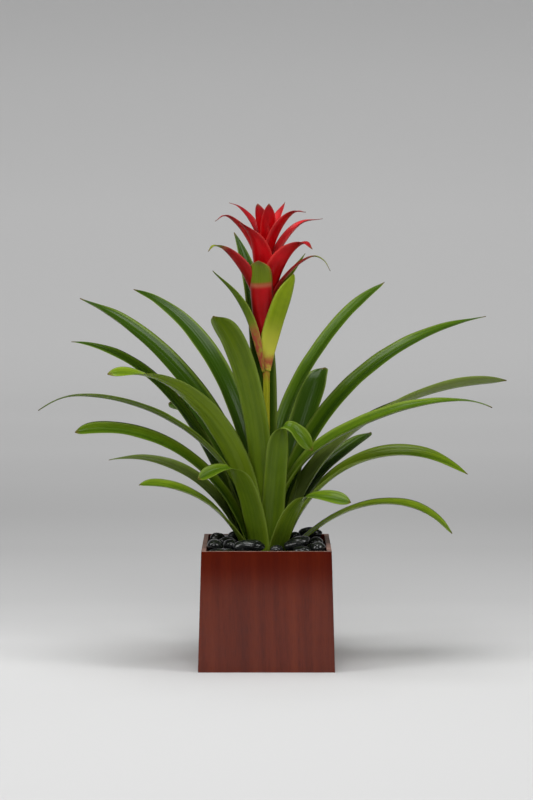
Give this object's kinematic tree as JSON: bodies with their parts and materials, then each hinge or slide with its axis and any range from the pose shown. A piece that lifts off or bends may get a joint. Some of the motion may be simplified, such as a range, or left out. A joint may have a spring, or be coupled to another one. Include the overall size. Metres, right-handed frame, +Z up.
{
  "type": "potted bromeliad",
  "caption": "Bromeliad with arching strap leaves and a stem of bright bracts, in a square tapered wooden pot topped with river pebbles.",
  "frame": {"origin": "centre of the pot's underside, where it stands on the table", "axes": "+Z up along the flower stem, -Y towards the front seen in the picture, +X to the right in it"},
  "size_m": [0.6289, 0.4462, 0.6082],
  "materials": {
    "leaf": "satin",
    "green_bract": "satin",
    "red_bract": "gloss",
    "stem": "satin",
    "pot_wood": "satin",
    "liner_plastic": "matte",
    "potting_soil": "matte",
    "river_stone": "gloss"
  },
  "bodies": {
    "root": {"bract_back_low": "red_bract", "bract_back_mid": "red_bract", "bract_back_upper": "red_bract", "bract_front_centre": "red_bract", "bract_front_green_tip": "red_bract", "bract_left_low": "red_bract", "bract_left_mid": "red_bract", "bract_left_upper": "red_bract", "bract_right_low": "red_bract", "bract_right_mid": "red_bract", "bract_right_slender": "red_bract", "bract_right_upper": "red_bract", "bract_top_centre": "red_bract", "bract_top_left": "red_bract", "bract_top_right": "red_bract", "flower_stem": "stem", "leaf_back_left": "leaf", "leaf_back_left_low": "leaf", "leaf_back_low": "leaf", "leaf_back_mid": "leaf", "leaf_back_right": "leaf", "leaf_back_upright": "leaf", "leaf_front_centre": "leaf", "leaf_front_left": "leaf", "leaf_front_right": "leaf", "leaf_front_tall": "leaf", "leaf_left_blunt": "leaf", "leaf_left_dull": "leaf", "leaf_left_hooked": "leaf", "leaf_left_long": "leaf", "leaf_left_longest": "leaf", "leaf_left_lowest": "leaf", "leaf_left_slender": "leaf", "leaf_left_tall": "leaf", "leaf_right_arched": "leaf", "leaf_right_dark": "leaf", "leaf_right_dull": "leaf", "leaf_right_level": "leaf", "leaf_right_low": "leaf", "leaf_right_lowest": "leaf", "leaf_right_tall": "leaf", "pebble_back_left": "river_stone", "pebble_back_right": "river_stone", "pebble_bed": "river_stone", "pebble_front": "river_stone", "pebble_front_small": "river_stone", "pebble_left": "river_stone", "pebble_left_inner": "river_stone", "pebble_right": "river_stone", "pebble_right_long": "river_stone", "plastic_liner": "liner_plastic", "pot_back": "pot_wood", "pot_base": "pot_wood", "pot_front": "pot_wood", "pot_left": "pot_wood", "pot_right": "pot_wood", "scape_bract_behind": "green_bract", "scape_bract_left": "green_bract", "scape_bract_lime": "green_bract", "soil": "potting_soil"}
  },
  "joints": []
}
